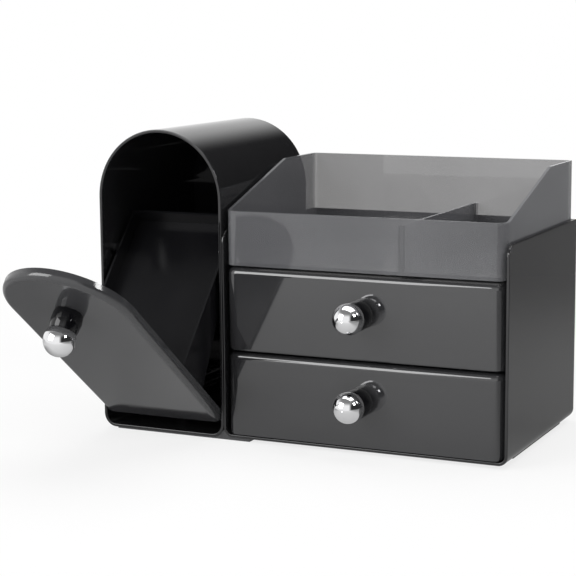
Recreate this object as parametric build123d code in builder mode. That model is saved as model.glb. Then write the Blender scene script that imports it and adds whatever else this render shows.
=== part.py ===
from build123d import *
from math import cos, radians, sin
import os

# A countertop make-up organiser of two glossy black modules, side by side: an arched brush
# tower whose door tilts out with a shallow brush bucket on it, and a cabinet of two drawers
# under an open tray. Millimetres. +Z is up, +X is to the right of someone facing the fronts,
# who looks along +Y. X = 0 is the seam between the modules, Y = 0 is the tower's mid-depth and
# Z = 0 is the table. The door is drawn open and the drawers shut.

# ---- driving dimensions: tower ----
TOWER_WIDTH = 103.5
TOWER_DEPTH = 150.0
TOWER_TOP = 230.5          # crown of the arch above the table
TOWER_WALL = 2.3
TOWER_LIFT = 1.0           # underside above the table
TOWER_CORNER = 10.3        # radius of the outer lower corners
RIM_ROUND = 0.6            # rounding of the casings' front rims

# ---- driving dimensions: door and brush bucket ----
DOOR_OPEN = 52.0           # lean of the open door from upright, degrees
DOOR_BOTTOM = 12.1         # lower edge of the shut door above the table
DOOR_CLEARANCE = 0.4       # between the door's rim and the opening
DOOR_SKIN = 2.4
DOOR_RIM_DEPTH = 8.0
DOOR_RIM_WALL = 2.2
DOOR_CORNER = 6.0          # radius of the door's lower corners
DOOR_EDGE = 4.6            # rounding of the door's outer edge
DOOR_INSET = 0.2           # outer face behind the casing's front rim
HINGE_BEHIND_FACE = 4.0
HINGE_ABOVE_EDGE = 3.0
HINGE_PIN_DIAMETER = 3.0
HINGE_PIN_GRIP = 1.6       # depth of the pin's bore in the casing's wall
HINGE_PIN_END_PLAY = 0.1
HINGE_PIN_IN_DOOR = 9.0
HINGE_RUNNING_FIT = 0.05   # radial
BUCKET_SIDE_GAP = 1.05     # to the inside of the door's rim
BUCKET_DEPTH = 140.0
BUCKET_WALL = 1.8
BUCKET_LIP = 12.0          # side and back walls above the floor
BUCKET_FLOOR_HEIGHT = 61.5  # above the hinge, measured up the door
BUCKET_LEAN = 48.2         # lean of the bucket's axis with the door open, degrees
CHEEK_DROP = 26.0          # depth of the side cheeks below the floor, at the door
CHEEK_START = 3.0          # behind the door's inner skin
CHEEK_REACH = 96.0         # how far back the cheeks run
FLANGE_THICKNESS = 2.4
FLANGE_HEIGHT = 28.0       # plate that fixes the bucket to the door
FLANGE_BELOW_FLOOR = 16.0
STOP_DIAMETER = 6.0
STOP_REACH = 104.0         # how far back along the bucket the stops catch it
STOP_GAP = 0.3
STOP_OVERLAP = 1.4         # of the stop over the bucket's side wall

# ---- driving dimensions: cabinet ----
CABINET_WIDTH = 221.5
CABINET_DEPTH = 164.0
CABINET_TOP = 157.6
CABINET_LIFT = 2.2
CASING_WALL = 2.3
SEAM_WALL = 1.6            # the cabinet's wall against the tower
SEAM_GAP = 0.1
CABINET_CORNER = 7.0       # radius of the lower side corners and of the rear lower edge
SHOULDER_ROUND = 9.0       # front upper corner of each side wall
SIDE_CLEARANCE = 0.5       # fronts and tray to the side walls
FRONT_GAP = 1.6            # between one front and the next
DECK_CLEARANCE = 0.6       # under each drawer front
SHELF_THICKNESS = 2.2
LEDGE = 3.0                # how far the ledges stand out of the side walls
LEDGE_HEIGHT = 2.0
GUIDE_HEIGHT = 2.5
GUIDE_ABOVE_DECK = 14.0
GUIDE_PLAY = 0.5

# ---- driving dimensions: drawers ----
FRONT_HEIGHT = 62.0
FRONT_DEPTH = 11.0
FRONT_SKIN = 2.5
FRONT_CORNER = 10.0        # radius of the upright edges of the fronts and the tray
LOWER_FRONT_CORNER = 6.0   # lower corners of the lower front, seen from the front
KNOB_ABOVE_MIDDLE = 2.5
FRONT_EDGE = 5.0           # rounding of each front's upper edge
LOWER_EDGE = 1.5           # rounding of the upper front's lower edge
BOX_SIDE_GAP = 3.75        # box to the casing's side walls
BOX_DEPTH = 147.0
BOX_HEIGHT = 54.0
BOX_WALL = 2.0
BOX_CORNER = 4.0           # upright edges of each box
BOX_BOTTOM_ROUND = 5.0     # its lower long edges
BOX_SETBACK = 5.0          # box behind the face of its front
BOX_LIFT = 0.4             # box above the lower return of its front
RUNNER_SPACING = 120.0
RUNNER_WIDTH = 3.0
RUNNER_GAP = 0.3
BEHIND_FRONTS = 3.0        # from the back of the fronts to the shelf and the ledges

# ---- driving dimensions: tray ----
TRAY_FRONT_TOP = 172.4
TRAY_BACK_TOP = 202.8
TRAY_WALL = 2.2
TRAY_RISE_START = 8.0      # behind the face, where the side walls start to rise
TRAY_RISE_END = 104.0
TRAY_RISE_HOLLOW = 40.0    # radius at the foot of the rise
TRAY_RISE_CROWN = 170.0    # radius at the head of the rise
TRAY_BACK_CORNER = 4.0
TRAY_BACK_GAP = 0.7
PARTITION_FROM_LEFT = 139.0
PARTITION_THICKNESS = 1.8
PARTITION_HEIGHT = 33.0
PARTITION_PLAY = 0.2
SLOT_RIB = 1.5             # thickness of the ribs that hold the partition's ends
SLOT_DEPTH = 4.0

# ---- driving dimensions: knobs and fasteners ----
BALL_RADIUS = 11.5
BALL_CENTRE = 21.0         # ball's centre in front of the face
COLLAR_RADIUS = 10.9
COLLAR_BACK_RADIUS = 10.2
COLLAR_RIM_RADIUS = 9.7
COLLAR_LENGTH = 14.2
COLLAR_BELLY = 5.0         # where the collar is widest
SEAT_CLEARANCE = 0.05
DOOR_KNOB_HEIGHT = 164.0   # above the hinge, measured up the door
KNOB_SCREW_DIAMETER = 4.0
KNOB_SCREW_GRIP = 7.0      # length of screw inside the ball
KNOB_SCREW_HEAD = 7.5
SCREW_DIAMETER = 2.6
SCREW_HEAD = 5.2
SCREW_HEAD_HEIGHT = 1.6
SCREW_CLEARANCE = 0.05
DOOR_SCREW_GRIP = 1.7      # depth of the bucket's screws in the door's skin
FRONT_SCREW_GRIP = 1.8
BOSS_DIAMETER = 8.0
FRONT_SCREW_SPREAD = 70.0  # to each side of the front's middle
FRONT_SCREW_RISE = 14.0    # above and below it
BUCKET_SCREW_SPREAD = 34.0
BUCKET_SCREW_BELOW = 10.0  # below the bucket's floor
BUCKET_SCREW_ABOVE = 6.5
RIVET_DIAMETER = 3.0
RIVET_FRONT = -35.0        # from the tower's mid-depth
RIVET_BACK = 45.0
RIVET_LOW = 36.0           # above the table
RIVET_HIGH = 112.0
RIVET_HEAD = 5.6
RIVET_HEAD_DEPTH = 1.3

# ---- driving dimensions: base ----
BASE_LEFT = 92.0           # base plate from the seam to its left end
BASE_RIGHT = 21.0
BASE_MARGIN = 1.0          # from the tower's front and back
SEAM_FILL_WIDTH = 11.0     # either side of the seam, where the plate fills the notch
SEAM_FILL_HEIGHT = 7.0
PLATE_SCREW_LEFT = -72.0   # from the seam
PLATE_SCREW_RIGHT = 16.0
PLATE_SCREW_Y = 42.0       # to each side of the tower's mid-depth
PLATE_SCREW_LENGTH = 3.1   # from the table up
PLATE_SCREW_HEAD_HEIGHT = 0.9
PLATE_SCREW_SINK = 0.1
FOOT_WIDTH = 9.0
FOOT_INSET = 6.0           # foot strip in from the cabinet's side
FOOT_FRONT = 32.0          # foot strip behind the front
FOOT_LENGTH = 116.0

# ---- places worked out from the sizes above ----
FRONT = -TOWER_DEPTH / 2
TOWER_X = -TOWER_WIDTH / 2
OPENING_HALF = TOWER_WIDTH / 2 - TOWER_WALL
OPENING_BOTTOM = TOWER_LIFT + TOWER_WALL
OPENING_TOP = TOWER_TOP - TOWER_WALL
OPENING_CORNER = TOWER_CORNER - TOWER_WALL
DOOR_HALF = OPENING_HALF - DOOR_CLEARANCE
BUCKET_WIDTH = 2 * (DOOR_HALF - DOOR_RIM_WALL - BUCKET_SIDE_GAP)
HINGE_PIN_LENGTH = HINGE_PIN_GRIP - HINGE_PIN_END_PLAY + DOOR_CLEARANCE + HINGE_PIN_IN_DOOR
HINGE = Vector(TOWER_X, FRONT + DOOR_INSET + HINGE_BEHIND_FACE, DOOR_BOTTOM + HINGE_ABOVE_EDGE)
CABINET_LEFT = SEAM_GAP + SEAM_WALL
CABINET_RIGHT = CABINET_WIDTH - CASING_WALL
CABINET_BACK = FRONT + CABINET_DEPTH
CABINET_FLOOR = CABINET_LIFT + CASING_WALL
FRONTS_LEFT = CABINET_LEFT + SIDE_CLEARANCE
FRONTS_RIGHT = CABINET_RIGHT - SIDE_CLEARANCE
FRONTS_WIDTH = FRONTS_RIGHT - FRONTS_LEFT
FRONTS_X = (FRONTS_LEFT + FRONTS_RIGHT) / 2
BOX_WIDTH = CABINET_RIGHT - CABINET_LEFT - 2 * BOX_SIDE_GAP
LOWER_FRONT = CABINET_FLOOR + DECK_CLEARANCE
UPPER_FRONT = LOWER_FRONT + FRONT_HEIGHT + FRONT_GAP
TRAY_BOTTOM = UPPER_FRONT + FRONT_HEIGHT + FRONT_GAP
SHELF_TOP = UPPER_FRONT - DECK_CLEARANCE
LEDGES_FRONT = FRONT + FRONT_DEPTH + BEHIND_FRONTS
LEDGES_LENGTH = CABINET_BACK - CASING_WALL - LEDGES_FRONT
TRAY_DEPTH = CABINET_DEPTH - CASING_WALL - TRAY_BACK_GAP
BOX_FLOOR_ABOVE_FRONT = FRONT_SKIN + BOX_LIFT
RUNNER_HEIGHT = DECK_CLEARANCE + BOX_FLOOR_ABOVE_FRONT - RUNNER_GAP
KNOB_SCREW_END = BALL_CENTRE - BALL_RADIUS + KNOB_SCREW_GRIP

FACE = Plane((0, FRONT, 0), x_dir=(1, 0, 0), z_dir=(0, -1, 0))
TOWER_FACE = Plane((TOWER_X, FRONT, 0), x_dir=(1, 0, 0), z_dir=(0, -1, 0))
lean = radians(DOOR_OPEN)
DOOR = Plane(HINGE, x_dir=(1, 0, 0), z_dir=(0, -cos(lean), -sin(lean)))
DOOR_INNER = HINGE_BEHIND_FACE - DOOR_SKIN
bucket_lean = radians(BUCKET_LEAN)
BUCKET = Plane(
    DOOR.from_local_coords((0, BUCKET_FLOOR_HEIGHT, DOOR_INNER)),
    x_dir=(1, 0, 0),
    z_dir=(0, -sin(bucket_lean), cos(bucket_lean)),
)
BUCKET_START = 1.0         # bucket's box behind the door's inner skin
STOP = BUCKET.from_local_coords((0, STOP_REACH, BUCKET_LIP + STOP_DIAMETER / 2 + STOP_GAP))
STOP_LENGTH = OPENING_HALF - BUCKET_WIDTH / 2 + STOP_OVERLAP

parts = {}


def keep(builder, name):
    """Labels a finished piece and notes it for writing."""
    builder.part.label = name
    parts[name] = builder.part


def arch(outline, half_width, bottom, top, corner):
    """Draws an arch with rounded lower corners in the open sketch called outline."""
    spring = top - half_width
    with Locations((0, (bottom + spring) / 2)):
        Rectangle(2 * half_width, spring - bottom)
    with Locations((0, spring)):
        Circle(half_width)
    fillet(outline.vertices().group_by(Axis.Y)[0], corner)


def box_between(low, high, mode=Mode.ADD):
    """Adds a box to the open part from its lowest and highest corners."""
    with Locations([tuple((a + b) / 2 for a, b in zip(low, high))]):
        Box(*(b - a for a, b in zip(low, high)), mode=mode)


# ---- tower ----
rivet_spots = [(y, z) for y in (RIVET_FRONT, RIVET_BACK) for z in (RIVET_LOW, RIVET_HIGH)]
plate_screw_spots = [
    (x, y) for x in (PLATE_SCREW_LEFT, PLATE_SCREW_RIGHT) for y in (-PLATE_SCREW_Y, PLATE_SCREW_Y)
]

with BuildPart() as tower_block:
    with BuildSketch(TOWER_FACE) as outer_arch:
        arch(outer_arch, TOWER_WIDTH / 2, TOWER_LIFT, TOWER_TOP, TOWER_CORNER)
    extrude(amount=-TOWER_DEPTH)

with BuildPart() as tower_casing:
    add(tower_block.part)
    with BuildSketch(TOWER_FACE) as inner_arch:
        arch(inner_arch, OPENING_HALF, OPENING_BOTTOM, OPENING_TOP, OPENING_CORNER)
    extrude(amount=-(TOWER_DEPTH - TOWER_WALL), mode=Mode.SUBTRACT)
    fillet(tower_casing.faces().sort_by(Axis.Y)[0].edges(), RIM_ROUND)
    with BuildSketch(Plane.YZ.offset(TOWER_X - OPENING_HALF - HINGE_PIN_GRIP)) as pin_holes:
        with Locations((HINGE.Y, HINGE.Z)):
            Circle(HINGE_PIN_DIAMETER / 2 + HINGE_RUNNING_FIT)
    extrude(amount=2 * (OPENING_HALF + HINGE_PIN_GRIP), mode=Mode.SUBTRACT)
    for stop_start in (-OPENING_HALF, OPENING_HALF - STOP_LENGTH):
        with BuildSketch(Plane.YZ.offset(TOWER_X + stop_start)):
            with Locations((STOP.Y, STOP.Z)):
                Circle(STOP_DIAMETER / 2)
        extrude(amount=STOP_LENGTH)
    with Locations([Location((0, y, z), (0, 90, 0)) for y, z in rivet_spots]):
        Cylinder(RIVET_DIAMETER / 2 + SCREW_CLEARANCE, 2 * TOWER_WALL, mode=Mode.SUBTRACT)
    with Locations([
        Location((-TOWER_WALL + RIVET_HEAD_DEPTH / 2, y, z), (0, 90, 0)) for y, z in rivet_spots
    ]):
        Cone(RIVET_HEAD / 2 + SCREW_CLEARANCE, RIVET_DIAMETER / 2 + SCREW_CLEARANCE,
             RIVET_HEAD_DEPTH, mode=Mode.SUBTRACT)
    with Locations([(x, y, TOWER_LIFT) for x, y in plate_screw_spots]):
        Cylinder(SCREW_DIAMETER / 2 + SCREW_CLEARANCE, 2 * (PLATE_SCREW_LENGTH - TOWER_LIFT),
                 mode=Mode.SUBTRACT)
keep(tower_casing, "tower_casing")

with BuildPart() as joining_rivets:
    rivet_length = TOWER_WALL + SEAM_GAP + SEAM_WALL
    with Locations([
        Location((rivet_length / 2 - TOWER_WALL, y, z), (0, 90, 0)) for y, z in rivet_spots
    ]):
        Cylinder(RIVET_DIAMETER / 2, rivet_length)
    with Locations([
        Location((-TOWER_WALL + RIVET_HEAD_DEPTH / 2, y, z), (0, 90, 0)) for y, z in rivet_spots
    ]):
        Cone(RIVET_HEAD / 2, RIVET_DIAMETER / 2, RIVET_HEAD_DEPTH)
keep(joining_rivets, "joining_rivets")

# ---- door, drawn in its own plane: x across, y up the door, z out of its face ----
door_knob_bore = Plane(
    DOOR.from_local_coords((0, DOOR_KNOB_HEIGHT, HINGE_BEHIND_FACE)),
    x_dir=DOOR.x_dir, z_dir=DOOR.z_dir,
)
bucket_screw_spots = [
    (x, BUCKET_FLOOR_HEIGHT + y)
    for x in (-BUCKET_SCREW_SPREAD, BUCKET_SCREW_SPREAD)
    for y in (-BUCKET_SCREW_BELOW, BUCKET_SCREW_ABOVE)
]

with BuildPart() as door_panel:
    with BuildSketch(DOOR.offset(HINGE_BEHIND_FACE)) as door_outline:
        arch(door_outline, DOOR_HALF, -HINGE_ABOVE_EDGE,
             OPENING_TOP - DOOR_CLEARANCE - HINGE.Z, DOOR_CORNER)
    extrude(amount=-DOOR_RIM_DEPTH)
    door_face = door_panel.faces().filter_by(lambda f: f.normal_at().dot(DOOR.z_dir) > 0.99)
    fillet(door_face.edges().sort_by(Axis.Z)[1:], DOOR_EDGE)
    with BuildSketch(DOOR.offset(DOOR_INNER)) as door_hollow:
        arch(door_hollow, DOOR_HALF - DOOR_RIM_WALL, DOOR_RIM_WALL + 2 * HINGE_RUNNING_FIT,
             OPENING_TOP - DOOR_CLEARANCE - DOOR_RIM_WALL - HINGE.Z, DOOR_CORNER - DOOR_RIM_WALL)
    extrude(amount=-DOOR_RIM_DEPTH, mode=Mode.SUBTRACT)
    for bore_start in (TOWER_X - DOOR_HALF, TOWER_X + DOOR_HALF - HINGE_PIN_IN_DOOR):
        with BuildSketch(Plane.YZ.offset(bore_start)):
            with Locations((HINGE.Y, HINGE.Z)):
                Circle(HINGE_PIN_DIAMETER / 2)
        extrude(amount=HINGE_PIN_IN_DOOR, mode=Mode.SUBTRACT)
    with BuildSketch(DOOR.offset(DOOR_INNER)) as screw_holes:
        with Locations(bucket_screw_spots):
            Circle(SCREW_DIAMETER / 2 + SCREW_CLEARANCE)
    extrude(amount=DOOR_SCREW_GRIP, mode=Mode.SUBTRACT)
    with BuildSketch(door_knob_bore) as knob_hole:
        Circle(KNOB_SCREW_DIAMETER / 2 + SCREW_CLEARANCE)
    extrude(amount=-DOOR_RIM_DEPTH, mode=Mode.SUBTRACT)
keep(door_panel, "door_panel")

for side, pin_start in (
    ("left", TOWER_X - OPENING_HALF - HINGE_PIN_GRIP + HINGE_PIN_END_PLAY),
    ("right", TOWER_X + DOOR_HALF - HINGE_PIN_IN_DOOR),
):
    with BuildPart() as hinge_pin:
        with BuildSketch(Plane.YZ.offset(pin_start)):
            with Locations((HINGE.Y, HINGE.Z)):
                Circle(HINGE_PIN_DIAMETER / 2)
        extrude(amount=HINGE_PIN_LENGTH)
    keep(hinge_pin, side + "_hinge_pin")

with BuildPart() as brush_bucket:
    with BuildSketch(BUCKET.offset(-BUCKET_WALL)):
        with Locations((0, BUCKET_START + BUCKET_DEPTH / 2)):
            Rectangle(BUCKET_WIDTH, BUCKET_DEPTH)
    extrude(amount=BUCKET_WALL + BUCKET_LIP)
    with BuildSketch(BUCKET):
        with Locations((0, BUCKET_START + (BUCKET_DEPTH - BUCKET_WALL) / 2)):
            Rectangle(BUCKET_WIDTH - 2 * BUCKET_WALL, BUCKET_DEPTH - BUCKET_WALL)
    extrude(amount=BUCKET_LIP, mode=Mode.SUBTRACT)
    cheek = Plane(BUCKET.origin, x_dir=BUCKET.y_dir, z_dir=(1, 0, 0))
    for side in (-BUCKET_WIDTH / 2, BUCKET_WIDTH / 2 - BUCKET_WALL):
        with BuildSketch(cheek.offset(side)):
            with BuildLine():
                Polyline((CHEEK_START, 0), (CHEEK_REACH, 0), (CHEEK_REACH, -BUCKET_WALL),
                         (CHEEK_START, -CHEEK_DROP), close=True)
            make_face()
        extrude(amount=BUCKET_WALL)
    with BuildSketch(DOOR.offset(DOOR_INNER)):
        with Locations((0, BUCKET_FLOOR_HEIGHT - FLANGE_BELOW_FLOOR + FLANGE_HEIGHT / 2)):
            Rectangle(BUCKET_WIDTH, FLANGE_HEIGHT)
    extrude(amount=-FLANGE_THICKNESS)
    with BuildSketch(DOOR.offset(DOOR_INNER)):
        with Locations(bucket_screw_spots):
            Circle(SCREW_DIAMETER / 2 + SCREW_CLEARANCE)
    extrude(amount=-FLANGE_THICKNESS, mode=Mode.SUBTRACT)
keep(brush_bucket, "brush_bucket")

with BuildPart() as bucket_screws:
    with BuildSketch(DOOR.offset(DOOR_INNER - FLANGE_THICKNESS)):
        with Locations(bucket_screw_spots):
            Circle(SCREW_DIAMETER / 2)
    extrude(amount=FLANGE_THICKNESS + DOOR_SCREW_GRIP)
    with BuildSketch(DOOR.offset(DOOR_INNER - FLANGE_THICKNESS)):
        with Locations(bucket_screw_spots):
            Circle(SCREW_HEAD / 2)
    extrude(amount=-SCREW_HEAD_HEIGHT)
keep(bucket_screws, "bucket_screws")


# ---- knobs ----
def knob(face, skin, prefix):
    """Makes a knob on a plane in a panel's outer face; its screw comes through the skin."""
    axis = Axis(face.origin, face.z_dir)
    with BuildPart() as collar:
        with BuildSketch(Plane(face.origin, x_dir=face.x_dir, z_dir=-face.y_dir)):
            with BuildLine():
                Polyline((COLLAR_RIM_RADIUS, COLLAR_LENGTH), (0, COLLAR_LENGTH), (0, 0),
                         (COLLAR_BACK_RADIUS, 0))
                ThreePointArc((COLLAR_BACK_RADIUS, 0), (COLLAR_RADIUS, COLLAR_BELLY),
                              (COLLAR_RIM_RADIUS, COLLAR_LENGTH))
            make_face()
        revolve(axis=axis)
        with Locations(face.offset(BALL_CENTRE)):
            Sphere(BALL_RADIUS + SEAT_CLEARANCE, mode=Mode.SUBTRACT)
        with BuildSketch(face):
            Circle(KNOB_SCREW_DIAMETER / 2 + SCREW_CLEARANCE)
        extrude(amount=COLLAR_LENGTH, mode=Mode.SUBTRACT)
    keep(collar, prefix + "knob_collar")
    with BuildPart() as ball:
        with Locations(face.offset(BALL_CENTRE)):
            Sphere(BALL_RADIUS)
        with BuildSketch(face):
            Circle(KNOB_SCREW_DIAMETER / 2)
        extrude(amount=KNOB_SCREW_END, mode=Mode.SUBTRACT)
    keep(ball, prefix + "knob_ball")
    with BuildPart() as screw:
        with BuildSketch(face.offset(-skin)):
            Circle(KNOB_SCREW_DIAMETER / 2)
        extrude(amount=skin + KNOB_SCREW_END)
        with BuildSketch(face.offset(-skin)):
            Circle(KNOB_SCREW_HEAD / 2)
        extrude(amount=-SCREW_HEAD_HEIGHT)
    keep(screw, prefix + "knob_screw")


knob(door_knob_bore, DOOR_SKIN, "door_")

# ---- cabinet: its hollow, then its walls, ledges, guides and runners ----
with BuildPart() as cabinet_room:
    box_between((CABINET_LEFT, FRONT - CASING_WALL, CABINET_FLOOR),
                (CABINET_RIGHT, CABINET_BACK - CASING_WALL, CABINET_TOP + CASING_WALL))
    room_floor = cabinet_room.faces().sort_by(Axis.Z)[0].edges()
    fillet(room_floor.filter_by(Axis.Y) + room_floor.sort_by(Axis.Y)[-1:],
           CABINET_CORNER - CASING_WALL)

with BuildPart() as cabinet_block:
    box_between((SEAM_GAP, FRONT, CABINET_LIFT), (CABINET_WIDTH, CABINET_BACK, CABINET_TOP))
    block_floor = cabinet_block.faces().sort_by(Axis.Z)[0].edges()
    fillet(block_floor.filter_by(Axis.Y) + block_floor.sort_by(Axis.Y)[-1:], CABINET_CORNER)
    shoulders = cabinet_block.faces().sort_by(Axis.Z)[-1].edges().sort_by(Axis.Y)[0]
    fillet(shoulders, SHOULDER_ROUND)

with BuildPart() as cabinet_casing:
    add(cabinet_block.part)
    add(cabinet_room.part, mode=Mode.SUBTRACT)
    fillet(cabinet_casing.faces().sort_by(Axis.Y)[0].edges(), RIM_ROUND)
    for wall, inward in ((CABINET_LEFT, 1), (CABINET_RIGHT, -1)):
        for ledge_top in (SHELF_TOP - SHELF_THICKNESS, TRAY_BOTTOM):
            with Locations((wall, LEDGES_FRONT, ledge_top)):
                Box(2 * LEDGE, LEDGES_LENGTH, LEDGE_HEIGHT,
                    align=(Align.CENTER, Align.MIN, Align.MAX))
        guide_reach = abs(FRONTS_X + (-inward) * BOX_WIDTH / 2 - wall) - GUIDE_PLAY
        for deck in (CABINET_FLOOR, SHELF_TOP):
            with Locations((wall + inward * guide_reach / 2, LEDGES_FRONT,
                            deck + GUIDE_ABOVE_DECK)):
                Box(guide_reach, LEDGES_LENGTH, GUIDE_HEIGHT,
                    align=(Align.CENTER, Align.MIN, Align.MIN))
    with Locations([
        (FRONTS_X + x, LEDGES_FRONT, CABINET_FLOOR)
        for x in (-RUNNER_SPACING / 2, RUNNER_SPACING / 2)
    ]):
        Box(RUNNER_WIDTH, LEDGES_LENGTH - CABINET_CORNER, RUNNER_HEIGHT,
            align=(Align.CENTER, Align.MIN, Align.MIN))
    with Locations([Location((SEAM_GAP, y, z), (0, 90, 0)) for y, z in rivet_spots]):
        Cylinder(RIVET_DIAMETER / 2 + SCREW_CLEARANCE, 2 * SEAM_WALL, mode=Mode.SUBTRACT)
    with Locations([(x, y, CABINET_LIFT) for x, y in plate_screw_spots]):
        Cylinder(SCREW_DIAMETER / 2 + SCREW_CLEARANCE, 2 * (PLATE_SCREW_LENGTH - CABINET_LIFT),
                 mode=Mode.SUBTRACT)
    add(cabinet_block.part, mode=Mode.INTERSECT)
keep(cabinet_casing, "cabinet_casing")

with BuildPart() as drawer_shelf:
    box_between((CABINET_LEFT, LEDGES_FRONT, SHELF_TOP - SHELF_THICKNESS),
                (CABINET_RIGHT, LEDGES_FRONT + LEDGES_LENGTH, SHELF_TOP))
    with Locations([
        (FRONTS_X + x, LEDGES_FRONT, SHELF_TOP)
        for x in (-RUNNER_SPACING / 2, RUNNER_SPACING / 2)
    ]):
        Box(RUNNER_WIDTH, LEDGES_LENGTH, RUNNER_HEIGHT,
            align=(Align.CENTER, Align.MIN, Align.MIN))
keep(drawer_shelf, "drawer_shelf")


# ---- drawers ----
def box_body(bottom, inset):
    """Returns a drawer box filled solid, with its walls and bottom moved in by inset."""
    with BuildPart() as body:
        with BuildSketch(Plane.XY.offset(bottom + inset)):
            with Locations((FRONTS_X, FRONT + BOX_SETBACK + BOX_DEPTH / 2)):
                RectangleRounded(BOX_WIDTH - 2 * inset, BOX_DEPTH - 2 * inset, BOX_CORNER - inset)
        extrude(amount=BOX_HEIGHT)
        with BuildSketch(FACE) as box_shape:
            with Locations((FRONTS_X, bottom + inset + BOX_HEIGHT / 2)):
                Rectangle(BOX_WIDTH - 2 * inset, BOX_HEIGHT)
            fillet(box_shape.vertices().group_by(Axis.Y)[0], BOX_BOTTOM_ROUND - inset)
        extrude(amount=-BOX_DEPTH - FRONT_DEPTH, mode=Mode.INTERSECT)
    return body.part


def drawer(bottom, lower_corner, prefix):
    """Makes a drawer's moulded front, its box, the screws between them and its knob."""
    screw_spots = [
        (FRONTS_X + x, bottom + FRONT_HEIGHT / 2 + z)
        for x in (-FRONT_SCREW_SPREAD, FRONT_SCREW_SPREAD)
        for z in (-FRONT_SCREW_RISE, FRONT_SCREW_RISE)
    ]
    middle = (FRONTS_X, bottom + FRONT_HEIGHT / 2)
    with BuildPart() as front:
        with BuildSketch(Plane.XY.offset(bottom)) as front_plan:
            with Locations((FRONTS_X, FRONT + FRONT_DEPTH / 2)):
                Rectangle(FRONTS_WIDTH, FRONT_DEPTH)
            fillet(front_plan.vertices().group_by(Axis.Y)[0], FRONT_CORNER)
        extrude(amount=FRONT_HEIGHT)
        if lower_corner > 0:
            with BuildSketch(FACE) as front_shape:
                with Locations(middle):
                    Rectangle(FRONTS_WIDTH, FRONT_HEIGHT)
                fillet(front_shape.vertices().group_by(Axis.Y)[0], lower_corner)
            extrude(amount=-FRONT_DEPTH, mode=Mode.INTERSECT)
        else:
            fillet(front.faces().sort_by(Axis.Z)[0].edges().sort_by(Axis.Y)[0], LOWER_EDGE)
        front_edges = front.faces().sort_by(Axis.Z)[-1].edges()
        fillet(front_edges.filter_by(lambda e: e.center().Y < FRONT + FRONT_DEPTH - 1), FRONT_EDGE)
        with BuildSketch(Plane.XY.offset(bottom + FRONT_SKIN)) as hollow_plan:
            with Locations((FRONTS_X, FRONT + FRONT_SKIN + FRONT_DEPTH / 2)):
                Rectangle(FRONTS_WIDTH - 2 * FRONT_SKIN, FRONT_DEPTH)
            fillet(hollow_plan.vertices().group_by(Axis.Y)[0], FRONT_CORNER - FRONT_SKIN)
        extrude(amount=FRONT_HEIGHT - 2 * FRONT_SKIN, mode=Mode.SUBTRACT)
        with BuildSketch(FACE.offset(-FRONT_SKIN)):
            with Locations(screw_spots):
                Circle(BOSS_DIAMETER / 2)
        extrude(amount=FRONT_SKIN - BOX_SETBACK)
        with BuildSketch(FACE.offset(-BOX_SETBACK)):
            with Locations(screw_spots):
                Circle(SCREW_DIAMETER / 2 + SCREW_CLEARANCE)
        extrude(amount=FRONT_SCREW_GRIP, mode=Mode.SUBTRACT)
        with BuildSketch(FACE):
            with Locations((FRONTS_X, bottom + FRONT_HEIGHT / 2 + KNOB_ABOVE_MIDDLE)):
                Circle(KNOB_SCREW_DIAMETER / 2 + SCREW_CLEARANCE)
        extrude(amount=-FRONT_SKIN, mode=Mode.SUBTRACT)
    keep(front, prefix + "drawer_front")

    box_bottom = bottom + BOX_FLOOR_ABOVE_FRONT
    box_block = box_body(box_bottom, 0)
    box_room = box_body(box_bottom, BOX_WALL)
    with BuildPart() as box:
        add(box_block)
        add(box_room, mode=Mode.SUBTRACT)
        with BuildSketch(FACE.offset(-BOX_SETBACK)):
            with Locations(screw_spots):
                Circle(SCREW_DIAMETER / 2 + SCREW_CLEARANCE)
        extrude(amount=-BOX_WALL, mode=Mode.SUBTRACT)
    keep(box, prefix + "drawer_box")

    with BuildPart() as screws:
        with BuildSketch(FACE.offset(-BOX_SETBACK - BOX_WALL)):
            with Locations(screw_spots):
                Circle(SCREW_DIAMETER / 2)
        extrude(amount=BOX_WALL + FRONT_SCREW_GRIP)
        with BuildSketch(FACE.offset(-BOX_SETBACK - BOX_WALL)):
            with Locations(screw_spots):
                Circle(SCREW_HEAD / 2)
        extrude(amount=-SCREW_HEAD_HEIGHT)
    keep(screws, prefix + "drawer_screws")

    knob_height = bottom + FRONT_HEIGHT / 2 + KNOB_ABOVE_MIDDLE
    knob(Plane((FRONTS_X, FRONT, knob_height), x_dir=FACE.x_dir, z_dir=FACE.z_dir),
         FRONT_SKIN, prefix)


drawer(UPPER_FRONT, 0, "upper_")
drawer(LOWER_FRONT, LOWER_FRONT_CORNER, "lower_")

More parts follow.
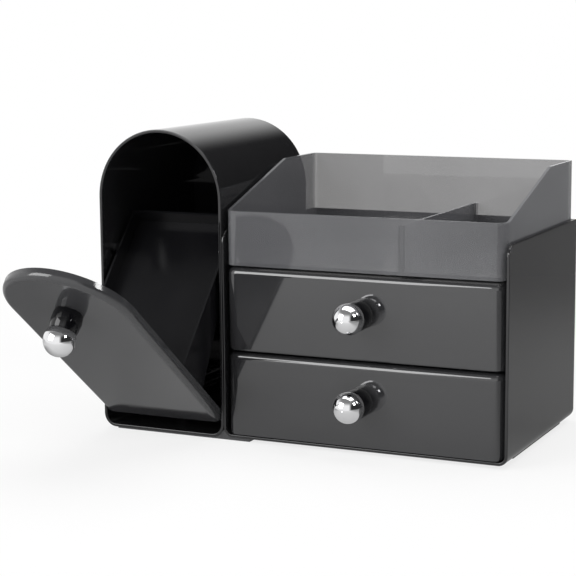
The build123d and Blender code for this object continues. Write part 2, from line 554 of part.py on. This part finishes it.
# ---- tray ----
tray_back = FRONT + TRAY_DEPTH
with BuildPart() as top_tray:
    for inset, mode in ((0, Mode.ADD), (TRAY_WALL, Mode.SUBTRACT)):
        with BuildSketch(Plane.XY.offset(TRAY_BOTTOM + inset)) as tray_plan:
            with Locations((FRONTS_X, FRONT + TRAY_DEPTH / 2)):
                Rectangle(FRONTS_WIDTH - 2 * inset, TRAY_DEPTH - 2 * inset)
            fillet(tray_plan.vertices().group_by(Axis.Y)[0], FRONT_CORNER - inset)
            fillet(tray_plan.vertices().group_by(Axis.Y)[-1], TRAY_BACK_CORNER - inset)
        extrude(amount=TRAY_BACK_TOP - TRAY_BOTTOM, mode=mode)
    partition_x = FRONTS_LEFT + PARTITION_FROM_LEFT
    rib_shift = PARTITION_THICKNESS / 2 + PARTITION_PLAY + SLOT_RIB / 2
    with Locations([
        (partition_x + x, y, TRAY_BOTTOM + TRAY_WALL)
        for x in (-rib_shift, rib_shift)
        for y in (FRONT + TRAY_WALL, tray_back - TRAY_WALL)
    ]):
        Box(SLOT_RIB, 2 * SLOT_DEPTH, PARTITION_HEIGHT,
            align=(Align.CENTER, Align.CENTER, Align.MIN))
    with BuildSketch(Plane.YZ.offset(FRONTS_LEFT)) as tray_side:
        with BuildLine():
            Polyline((FRONT, TRAY_BOTTOM), (FRONT, TRAY_FRONT_TOP),
                     (FRONT + TRAY_RISE_START, TRAY_FRONT_TOP),
                     (FRONT + TRAY_RISE_END, TRAY_BACK_TOP),
                     (tray_back, TRAY_BACK_TOP), (tray_back, TRAY_BOTTOM), close=True)
        make_face()
        turns = tray_side.vertices().sort_by(Axis.Y)
        fillet(turns.filter_by_position(Axis.Y, FRONT + 1, FRONT + 2 * TRAY_RISE_START),
               TRAY_RISE_HOLLOW)
        turns = tray_side.vertices().sort_by(Axis.Y)
        fillet(turns.filter_by_position(Axis.Y, FRONT + TRAY_RISE_END - 1,
                                        FRONT + TRAY_RISE_END + 1), TRAY_RISE_CROWN)
    extrude(amount=FRONTS_WIDTH, mode=Mode.INTERSECT)
keep(top_tray, "top_tray")

with BuildPart() as tray_partition:
    box_between(
        (partition_x - PARTITION_THICKNESS / 2, FRONT + TRAY_WALL, TRAY_BOTTOM + TRAY_WALL),
        (partition_x + PARTITION_THICKNESS / 2, tray_back - TRAY_WALL,
         TRAY_BOTTOM + TRAY_WALL + PARTITION_HEIGHT),
    )
keep(tray_partition, "tray_partition")

# ---- base ----
with BuildPart() as joining_plate:
    box_between((-BASE_LEFT, FRONT + BASE_MARGIN, 0),
                (BASE_RIGHT, -FRONT - BASE_MARGIN, SEAM_FILL_HEIGHT))
    box_between((-TOWER_WIDTH, FRONT, TOWER_LIFT), (-SEAM_FILL_WIDTH, -FRONT, TOWER_TOP),
                mode=Mode.SUBTRACT)
    box_between((SEAM_FILL_WIDTH, FRONT, CABINET_LIFT), (CABINET_WIDTH, -FRONT, TOWER_TOP),
                mode=Mode.SUBTRACT)
    add(tower_block.part, mode=Mode.SUBTRACT)
    add(cabinet_block.part, mode=Mode.SUBTRACT)
    with Locations([(x, y, PLATE_SCREW_SINK) for x, y in plate_screw_spots]):
        Cylinder(SCREW_HEAD / 2 + SCREW_CLEARANCE, PLATE_SCREW_SINK,
                 align=(Align.CENTER, Align.CENTER, Align.MAX), mode=Mode.SUBTRACT)
        Cone(SCREW_HEAD / 2 + SCREW_CLEARANCE, SCREW_DIAMETER / 2 + SCREW_CLEARANCE,
             PLATE_SCREW_HEAD_HEIGHT, align=(Align.CENTER, Align.CENTER, Align.MIN),
             mode=Mode.SUBTRACT)
        Cylinder(SCREW_DIAMETER / 2 + SCREW_CLEARANCE, PLATE_SCREW_LENGTH,
                 align=(Align.CENTER, Align.CENTER, Align.MIN), mode=Mode.SUBTRACT)
keep(joining_plate, "joining_plate")

with BuildPart() as plate_screws:
    with Locations([(x, y, PLATE_SCREW_SINK) for x, y in plate_screw_spots]):
        Cone(SCREW_HEAD / 2, SCREW_DIAMETER / 2, PLATE_SCREW_HEAD_HEIGHT,
             align=(Align.CENTER, Align.CENTER, Align.MIN))
        Cylinder(SCREW_DIAMETER / 2, PLATE_SCREW_LENGTH - PLATE_SCREW_SINK,
                 align=(Align.CENTER, Align.CENTER, Align.MIN))
keep(plate_screws, "plate_screws")

with BuildPart() as foot_strip:
    box_between((CABINET_WIDTH - FOOT_INSET - FOOT_WIDTH, FRONT + FOOT_FRONT, 0),
                (CABINET_WIDTH - FOOT_INSET, FRONT + FOOT_FRONT + FOOT_LENGTH,
                 CABINET_LIFT + CABINET_CORNER / 2))
    add(cabinet_block.part, mode=Mode.SUBTRACT)
keep(foot_strip, "foot_strip")

os.makedirs("parts", exist_ok=True)
for name, part in parts.items():
    export_step(part, "parts/" + name + ".step")
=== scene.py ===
import bpy, math
from mathutils import Matrix, Vector

# The finishes, floor, camera and lamps of a make-up organiser: an arched brush tower beside a
# cabinet of two drawers under an open tray. Metres and watts. +Z is up, +X is to the right of
# someone facing the fronts and +Y is to the back. Every piece's shape and place come from the
# frame, and no piece is added here.

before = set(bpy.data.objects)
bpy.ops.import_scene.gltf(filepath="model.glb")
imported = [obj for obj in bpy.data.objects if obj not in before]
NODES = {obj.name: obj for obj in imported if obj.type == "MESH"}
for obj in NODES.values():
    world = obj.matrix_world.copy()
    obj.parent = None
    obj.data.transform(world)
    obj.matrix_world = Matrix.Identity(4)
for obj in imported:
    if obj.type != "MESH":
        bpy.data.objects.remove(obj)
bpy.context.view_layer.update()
scene = bpy.context.scene

UP = (0, 0, 1)
FORWARD = (0, -1, 0)
DIM_SIDE = (0.93, 0.37, 0)     # the way to the dim side of the studio
WHITE = (1, 1, 1, 1)


# ---------------------------------------------------------------- shader helpers
def new_material(name):
    mat = bpy.data.materials.new(name)
    mat.use_nodes = True
    tree = mat.node_tree
    tree.nodes.clear()
    out = tree.nodes.new("ShaderNodeOutputMaterial")
    shader = tree.nodes.new("ShaderNodeBsdfPrincipled")
    tree.links.new(shader.outputs["BSDF"], out.inputs["Surface"])
    return mat, tree, shader


def place_on(tree, stretch=(1, 1, 1)):
    """The piece's own coordinates in metres, stretched."""
    place = tree.nodes.new("ShaderNodeTexCoord")
    fit = tree.nodes.new("ShaderNodeMapping")
    fit.inputs["Scale"].default_value = stretch
    tree.links.new(place.outputs["Object"], fit.inputs["Vector"])
    return fit.outputs["Vector"]


def noise(tree, scale, detail, roughness, stretch=(1, 1, 1)):
    """A noise of about scale blotches per metre."""
    tex = tree.nodes.new("ShaderNodeTexNoise")
    tex.inputs["Scale"].default_value = scale
    tex.inputs["Detail"].default_value = detail
    tex.inputs["Roughness"].default_value = roughness
    tree.links.new(place_on(tree, stretch), tex.inputs["Vector"])
    return tex.outputs["Fac"]


def spread(tree, value, low, high, start=0.3, end=0.7, soft=False):
    """Maps value, between start and end, to the range low to high."""
    node = tree.nodes.new("ShaderNodeMapRange")
    node.interpolation_type = "SMOOTHSTEP" if soft else "LINEAR"
    node.inputs["From Min"].default_value = start
    node.inputs["From Max"].default_value = end
    node.inputs["To Min"].default_value = low
    node.inputs["To Max"].default_value = high
    tree.links.new(value, node.inputs["Value"])
    return node.outputs["Result"]


def tint(tree, value, dark, light, start=0.3, end=0.7):
    """A colour between dark and light, as value goes from start to end."""
    ramp = tree.nodes.new("ShaderNodeValToRGB")
    ramp.color_ramp.elements[0].position = start
    ramp.color_ramp.elements[0].color = (*dark, 1)
    ramp.color_ramp.elements[1].position = end
    ramp.color_ramp.elements[1].color = (*light, 1)
    tree.links.new(value, ramp.inputs["Fac"])
    return ramp.outputs["Color"]


def bump(tree, shader, height, strength, distance):
    node = tree.nodes.new("ShaderNodeBump")
    node.inputs["Strength"].default_value = strength
    node.inputs["Distance"].default_value = distance
    tree.links.new(height, node.inputs["Height"])
    tree.links.new(node.outputs["Normal"], shader.inputs["Normal"])


def math_node(tree, kind, first, second):
    """Adds a maths node; each input is a socket or a number."""
    node = tree.nodes.new("ShaderNodeMath")
    node.operation = kind
    for socket, value in zip(node.inputs, (first, second)):
        if isinstance(value, (int, float)):
            socket.default_value = value
        else:
            tree.links.new(value, socket)
    return node.outputs["Value"]


def vector_node(tree, kind, vector, other):
    """Adds a vector maths node that gives a number from a socket and a fixed vector."""
    node = tree.nodes.new("ShaderNodeVectorMath")
    node.operation = kind
    tree.links.new(vector, node.inputs[0])
    node.inputs[1].default_value = other
    return node.outputs["Value"]


def along(tree, vector, direction):
    """How far vector reaches along direction."""
    return vector_node(tree, "DOT_PRODUCT", vector, direction)


def apart(tree, vector, spot):
    """How far vector lies from spot."""
    return vector_node(tree, "DISTANCE", vector, spot)


def ray_is(tree, kind):
    return tree.nodes.new("ShaderNodeLightPath").outputs["Is " + kind + " Ray"]


def blend_surface(tree, share, first, second):
    """Sends a mix of two shaders to the output; at share 1 all of it is the second."""
    mix = tree.nodes.new("ShaderNodeMixShader")
    tree.links.new(share, mix.inputs["Fac"])
    tree.links.new(first, mix.inputs[1])
    tree.links.new(second, mix.inputs[2])
    tree.links.new(mix.outputs["Shader"], tree.get_output_node("ALL").inputs["Surface"])


# ---------------------------------------------------------------- materials
PLASTIC_IOR = 1.5
GLOSS = (0.03, 0.07)           # roughness of polished plastic, clean to smudged
DUST_COLOUR = (0.35, 0.35, 0.36, 1)
DUST_SHARE = 0.03
SMOKED_SHINE = 0.9
TINT_SPREAD = 1.06             # clearest over darkest part of the smoked plastic


def gloss_plastic(name, dark, light, shine=0.7, rough=GLOSS, ripple=0.1):
    """Moulded glossy plastic: faint flow clouding, a trace of dust and a slight ripple."""
    mat, tree, shader = new_material(name)
    body = tint(tree, noise(tree, scale=9.0, detail=4.0, roughness=0.55), dark, light)
    specks = noise(tree, scale=1400.0, detail=2.0, roughness=0.6)
    mix = tree.nodes.new("ShaderNodeMix")
    mix.data_type = "RGBA"
    tree.links.new(spread(tree, specks, 0.0, DUST_SHARE, start=0.66, end=0.80),
                   mix.inputs["Factor"])
    tree.links.new(body, mix.inputs["A"])
    mix.inputs["B"].default_value = DUST_COLOUR
    tree.links.new(mix.outputs["Result"], shader.inputs["Base Color"])
    smudge = noise(tree, scale=34.0, detail=5.0, roughness=0.6, stretch=(1, 1, 0.6))
    tree.links.new(spread(tree, smudge, *rough), shader.inputs["Roughness"])
    shader.inputs["IOR"].default_value = PLASTIC_IOR
    shader.inputs["Specular IOR Level"].default_value = shine
    waves = noise(tree, scale=22.0, detail=1.0, roughness=0.3)
    bump(tree, shader, waves, strength=ripple, distance=0.0004)
    return mat


def smoked_plastic(name, dark, light, clear, solid_share):
    """Smoked see-through plastic: clearer when looked at squarely than at a slant."""
    mat, tree, shader = new_material(name)
    cloud = noise(tree, scale=12.0, detail=4.0, roughness=0.55)
    tree.links.new(tint(tree, cloud, dark, light), shader.inputs["Base Color"])
    smudge = noise(tree, scale=40.0, detail=5.0, roughness=0.6)
    tree.links.new(spread(tree, smudge, *GLOSS), shader.inputs["Roughness"])
    shader.inputs["IOR"].default_value = PLASTIC_IOR
    shader.inputs["Specular IOR Level"].default_value = SMOKED_SHINE
    waves = noise(tree, scale=25.0, detail=1.0, roughness=0.3)
    bump(tree, shader, waves, strength=0.08, distance=0.0004)
    glass = tree.nodes.new("ShaderNodeBsdfTransparent")
    clearest = tuple(min(1, part * TINT_SPREAD) for part in clear)
    tree.links.new(tint(tree, cloud, clear, clearest), glass.inputs["Color"])
    slant = tree.nodes.new("ShaderNodeLayerWeight")
    slant.inputs["Blend"].default_value = 0.5
    share = spread(tree, slant.outputs["Facing"], *solid_share, start=0.05, end=0.95)
    blend_surface(tree, share, glass.outputs["BSDF"], shader.outputs["BSDF"])
    return mat


def metal(name, dark, light, rough, scale, stretch=(1, 1, 1), strength=0.02):
    """Metal with fine marks, about scale to the metre."""
    mat, tree, shader = new_material(name)
    shader.inputs["Metallic"].default_value = 1.0
    wear = noise(tree, scale, detail=4.0, roughness=0.6, stretch=stretch)
    tree.links.new(tint(tree, wear, dark, light), shader.inputs["Base Color"])
    tree.links.new(spread(tree, wear, *rough), shader.inputs["Roughness"])
    marks = noise(tree, scale * 3, detail=2.0, roughness=0.5, stretch=stretch)
    bump(tree, shader, marks, strength, distance=0.00005)
    return mat


def matte(name, dark, light, rough, grain):
    """A dull moulded surface, with about grain specks to the metre."""
    mat, tree, shader = new_material(name)
    fine = noise(tree, grain, detail=3.0, roughness=0.6)
    tree.links.new(tint(tree, fine, dark, light), shader.inputs["Base Color"])
    tree.links.new(spread(tree, fine, *rough), shader.inputs["Roughness"])
    pits = noise(tree, grain * 2, detail=2.0, roughness=0.6)
    bump(tree, shader, pits, strength=0.3, distance=0.0001)
    return mat


CASING = gloss_plastic("casing_plastic", dark=(0.011, 0.011, 0.012), light=(0.015, 0.015, 0.016))
FRONTS = gloss_plastic("front_plastic", dark=(0.024, 0.0242, 0.026),
                       light=(0.028, 0.0282, 0.030), shine=1.0)
DOOR = gloss_plastic("door_plastic", dark=(0.036, 0.0363, 0.0385),
                     light=(0.042, 0.0423, 0.0445), shine=0.75, rough=(0.07, 0.13))
BUCKET = gloss_plastic("bucket_plastic", dark=(0.005, 0.005, 0.006),
                       light=(0.008, 0.008, 0.009), shine=0.3, rough=(0.16, 0.26), ripple=0.3)
COLLAR = gloss_plastic("collar_plastic", dark=(0.003, 0.003, 0.004),
                       light=(0.005, 0.005, 0.006), shine=0.45, rough=(0.05, 0.09), ripple=0.03)
SMOKED = smoked_plastic("smoked_plastic", dark=(0.150, 0.152, 0.161), light=(0.178, 0.180, 0.190),
                        clear=(0.88, 0.875, 0.87), solid_share=(0.50, 0.88))
INNER = smoked_plastic("drawer_plastic", dark=(0.030, 0.031, 0.033), light=(0.040, 0.041, 0.043),
                       clear=(0.70, 0.69, 0.68), solid_share=(0.45, 0.9))
CHROME = metal("chrome", dark=(0.80, 0.80, 0.81), light=(0.88, 0.88, 0.89),
               rough=(0.015, 0.045), scale=60.0)
STEEL = metal("steel", dark=(0.42, 0.42, 0.43), light=(0.60, 0.60, 0.61),
              rough=(0.25, 0.40), scale=260.0, stretch=(1, 4, 1), strength=0.3)
TRIM = matte("plate_plastic", dark=(0.045, 0.045, 0.048), light=(0.075, 0.075, 0.078),
             rough=(0.35, 0.55), grain=700.0)
RUBBER = matte("rubber", dark=(0.018, 0.018, 0.018), light=(0.034, 0.034, 0.034),
               rough=(0.6, 0.85), grain=900.0)

LOOKS = {
    "tower_casing": CASING, "cabinet_casing": CASING, "drawer_shelf": CASING,
    "door_panel": DOOR, "upper_drawer_front": FRONTS, "lower_drawer_front": FRONTS,
    "brush_bucket": BUCKET, "top_tray": SMOKED, "tray_partition": SMOKED,
    "upper_drawer_box": INNER, "lower_drawer_box": INNER,
    "joining_plate": TRIM, "joining_rivets": TRIM, "foot_strip": RUBBER,
    "left_hinge_pin": STEEL, "right_hinge_pin": STEEL, "bucket_screws": STEEL,
    "upper_drawer_screws": STEEL, "lower_drawer_screws": STEEL, "plate_screws": STEEL,
}
for knob in ("door_knob", "upper_knob", "lower_knob"):
    LOOKS.update({knob + "_collar": COLLAR, knob + "_ball": CHROME, knob + "_screw": STEEL})

CREASE_ANGLE = math.radians(32)   # edges sharper than this stay sharp

for name, obj in NODES.items():
    obj.data.materials.clear()
    obj.data.materials.append(LOOKS[name])
    for face in obj.data.polygons:
        face.use_smooth = True
    obj.data.set_sharp_from_angle(angle=CREASE_ANGLE)
    soft = obj.modifiers.new("face_weighting", "WEIGHTED_NORMAL")
    soft.keep_sharp = True
    soft.weight = 100

# ---------------------------------------------------------------- floor
FLOOR_SIZE = 6.0
FLOOR_MIDDLE = (0.06, 0.0, -0.0004)   # under the organiser, just below its feet
PAINTED_DOOR_SHADOW = (-0.26, -0.16, 0)        # middle of the painted shadow of the open door in reflections, from the floor's middle

bpy.ops.mesh.primitive_plane_add(size=FLOOR_SIZE, location=FLOOR_MIDDLE)
floor = bpy.context.object
floor.name = "floor"
floor_white, tree, shader = new_material("floor_white")
paper = tint(tree, noise(tree, scale=3.0, detail=3.0, roughness=0.5),
             (0.86, 0.86, 0.86), (0.88, 0.88, 0.88))
tree.links.new(paper, shader.inputs["Base Color"])
shader.inputs["Roughness"].default_value = 0.9

# Painted reflection: the gloss mirrors a floor glow painted dimmer on the dim side, with painted
# shade near the fronts and a painted shadow by the door.
place = place_on(tree)
painted_reflection = spread(tree, along(tree, place, DIM_SIDE), 1.0, 0.38, start=0.08, end=0.22, soft=True)
for shade in (
    spread(tree, along(tree, place, FORWARD), 0.55, 1.0, start=0.12, end=0.75),
    # painted shadow of the open door, left of it
    spread(tree, apart(tree, place, PAINTED_DOOR_SHADOW), 0.22, 1.0, start=0.04, end=0.17),
):
    painted_reflection = math_node(tree, "MULTIPLY", painted_reflection, shade)
# The floor glows plain white for the camera, and with the painted reflection's brightness for
# glossy rays.
glow = tree.nodes.new("ShaderNodeEmission")
tree.links.new(math_node(tree, "MAXIMUM", painted_reflection, ray_is(tree, "Camera")),
               glow.inputs["Strength"])

# The glow hides the edge of the floor; near the organiser its shadow still shows.
seen = math_node(tree, "MAXIMUM", ray_is(tree, "Camera"), ray_is(tree, "Glossy"))
glow_share = spread(tree, apart(tree, place, (0, 0, 0)), 0.78, 1.0, start=0.30, end=0.90,
                    soft=True)
blend_surface(tree, math_node(tree, "MULTIPLY", seen, glow_share),
              shader.outputs["BSDF"], glow.outputs["Emission"])
floor.data.materials.append(floor_white)

# ---------------------------------------------------------------- camera
CAMERA_SPOT = (0.5845, -1.1984, 0.3168)
CAMERA_LENS = 108.454          # millimetres, as is the sensor's width
SENSOR_WIDTH = 36.0
YAW = math.radians(25.273)     # round to the right of the fronts
PITCH = math.radians(9.082)    # looking down
ROLL = math.radians(-0.461)

back = Vector((math.sin(YAW) * math.cos(PITCH), -math.cos(YAW) * math.cos(PITCH), math.sin(PITCH)))
level = (-back).cross(Vector(UP)).normalized()
upright = level.cross(-back).normalized()
right = level * math.cos(ROLL) + upright * math.sin(ROLL)
up = upright * math.cos(ROLL) - level * math.sin(ROLL)
camera_data = bpy.data.cameras.new("camera")
camera_data.lens = CAMERA_LENS
camera_data.sensor_width = SENSOR_WIDTH
camera = bpy.data.objects.new("camera", camera_data)
scene.collection.objects.link(camera)
turn = Matrix((right, up, back)).transposed().to_4x4()
camera.matrix_world = Matrix.Translation(CAMERA_SPOT) @ turn
scene.camera = camera

# ---------------------------------------------------------------- light
DIMMEST_WALL = 0.03
CEILING = 0.24

scene.view_settings.view_transform = "Standard"
world = bpy.data.worlds.new("studio")
scene.world = world
world.use_nodes = True
tree = world.node_tree
tree.nodes.clear()
tree.nodes.new("ShaderNodeOutputWorld")
white = tree.nodes.new("ShaderNodeBackground")
white.inputs["Color"].default_value = WHITE
white.inputs["Strength"].default_value = 1.0
room = tree.nodes.new("ShaderNodeBackground")
room.inputs["Color"].default_value = WHITE
way = tree.nodes.new("ShaderNodeTexCoord").outputs["Generated"]
wall = spread(tree, along(tree, way, DIM_SIDE), 1.0, DIMMEST_WALL, start=0.05, end=0.42, soft=True)
wall_share = spread(tree, along(tree, way, UP), 1.0, 0.0, start=0.42, end=0.80, soft=True)
wall_over_ceiling = math_node(tree, "MULTIPLY", wall_share,
                              math_node(tree, "SUBTRACT", wall, CEILING))
tree.links.new(math_node(tree, "ADD", CEILING, wall_over_ceiling), room.inputs["Strength"])
blend_surface(tree, ray_is(tree, "Camera"), room.outputs["Background"],
              white.outputs["Background"])


def panel(name, spot, aim, size, power):
    """A soft square or oblong lamp at spot, facing aim."""
    data = bpy.data.lights.new(name, "AREA")
    data.shape = "RECTANGLE"
    data.size, data.size_y = size
    data.energy = power
    lamp = bpy.data.objects.new(name, data)
    lamp.location = spot
    lamp.rotation_mode = "QUATERNION"
    lamp.rotation_quaternion = (Vector(aim) - Vector(spot)).to_track_quat("-Z", "Y")
    scene.collection.objects.link(lamp)


ORGANISER = (0.06, 0, 0.1)     # the organiser's middle
CABINET_FRONT = (0.1, -0.1, 0.1)
panel("key", spot=(-1.1, -1.75, 0.95), aim=ORGANISER, size=(1.3, 1.3), power=24.0)
panel("top", spot=(0.1, 0.2, 1.6), aim=ORGANISER, size=(1.8, 1.3), power=18.0)
panel("glint", spot=(1.39, -0.42, 0.99), aim=CABINET_FRONT, size=(0.36, 0.36), power=6.0)
